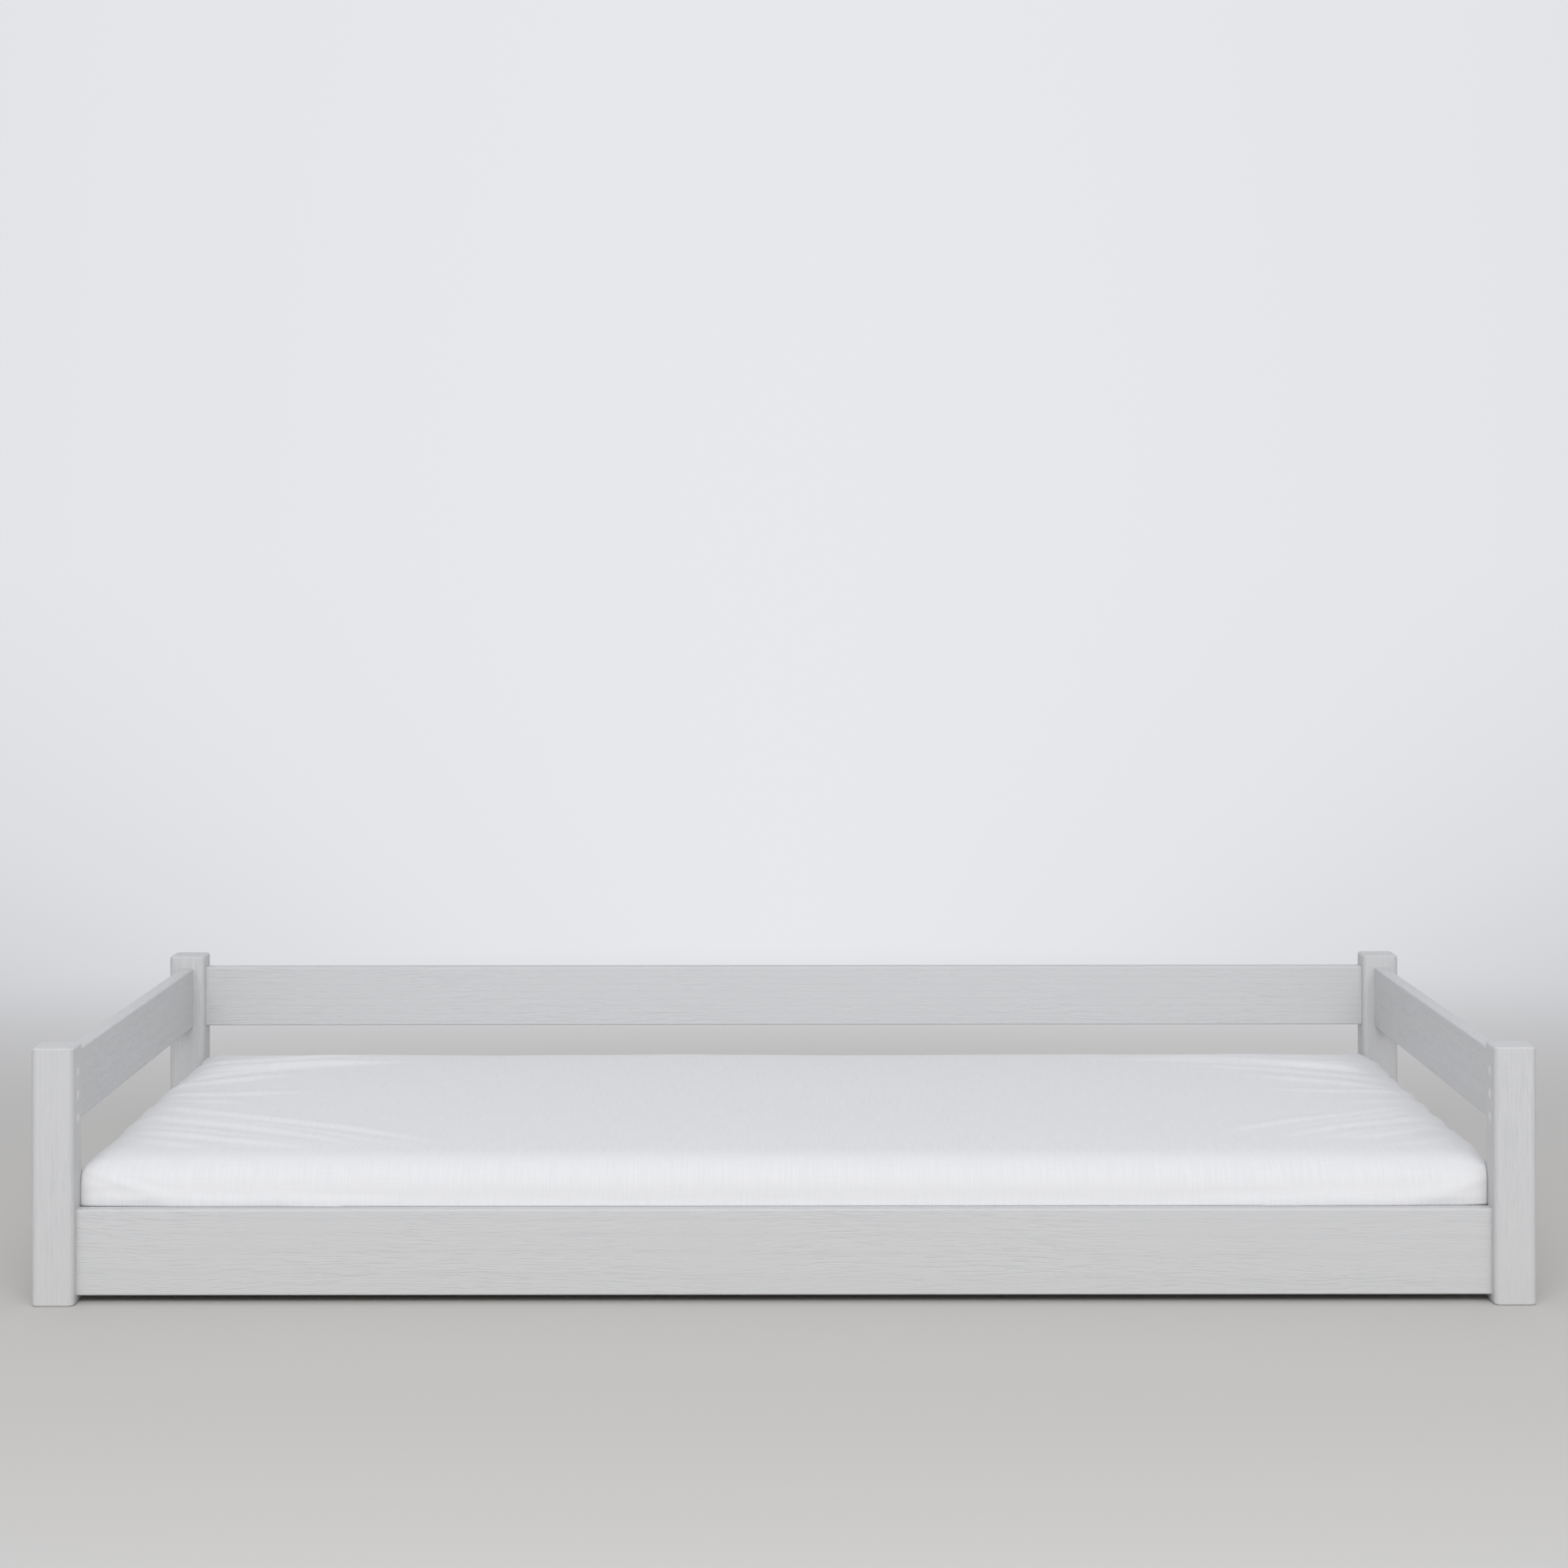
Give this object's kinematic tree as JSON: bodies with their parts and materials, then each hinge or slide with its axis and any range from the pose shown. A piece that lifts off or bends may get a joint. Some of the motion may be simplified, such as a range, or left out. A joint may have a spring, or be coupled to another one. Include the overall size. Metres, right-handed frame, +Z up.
{
  "type": "toddler bed",
  "caption": "Low wooden floor bed with guard rails on three sides, an open front, a slatted base and a mattress in a fitted sheet.",
  "frame": {"origin": "middle of the footprint, on the floor", "axes": "+X along the bed, +Y from the open front to the rear guard rail, +Z up"},
  "size_m": [1.884, 0.88, 0.323],
  "materials": {
    "grey_paint": "satin painted pine with faint grain",
    "pine": "bare planed pine",
    "zinc_steel": "zinc plated",
    "grey_plastic": "moulded",
    "webbing": "woven tape",
    "sheet_cotton": "fine plain weave",
    "foam": "foam block"
  },
  "bodies": {
    "bed_frame": {"front_left_post": "grey_paint", "front_right_post": "grey_paint", "rear_left_post": "grey_paint", "rear_right_post": "grey_paint", "front_side_board": "grey_paint", "rear_side_board": "grey_paint", "left_end_board": "grey_paint", "right_end_board": "grey_paint", "rear_guard_rail": "grey_paint", "left_guard_rail": "grey_paint", "right_guard_rail": "grey_paint", "front_ledger": "pine", "rear_ledger": "pine", "slat_01": "pine", "slat_02": "pine", "slat_03": "pine", "slat_04": "pine", "slat_05": "pine", "slat_06": "pine", "slat_07": "pine", "slat_08": "pine", "slat_09": "pine", "slat_10": "pine", "slat_11": "pine", "slat_12": "pine", "slat_13": "pine", "slat_14": "pine", "front_slat_tape": "webbing", "rear_slat_tape": "webbing", "tape_staples": "zinc_steel", "side_board_bolts": "zinc_steel", "side_board_barrel_nuts": "zinc_steel", "guard_rail_bolts": "zinc_steel", "guard_rail_barrel_nuts": "zinc_steel", "ledger_screws": "zinc_steel", "slat_screws": "zinc_steel", "guard_rail_dowels": "pine", "end_board_dowels": "pine", "end_rail_dowels": "pine", "dowel_hole_caps": "grey_plastic", "bolt_hole_caps": "grey_plastic", "outer_hole_caps": "grey_plastic"},
    "mattress": {"mattress_core": "foam", "fitted_sheet": "sheet_cotton"}
  },
  "joints": [
    {"name": "mattress_lift", "type": "slide", "parent": "bed_frame", "child": "mattress", "axis": [0, 0, 1], "range_m": [0, 0.26]}
  ]
}
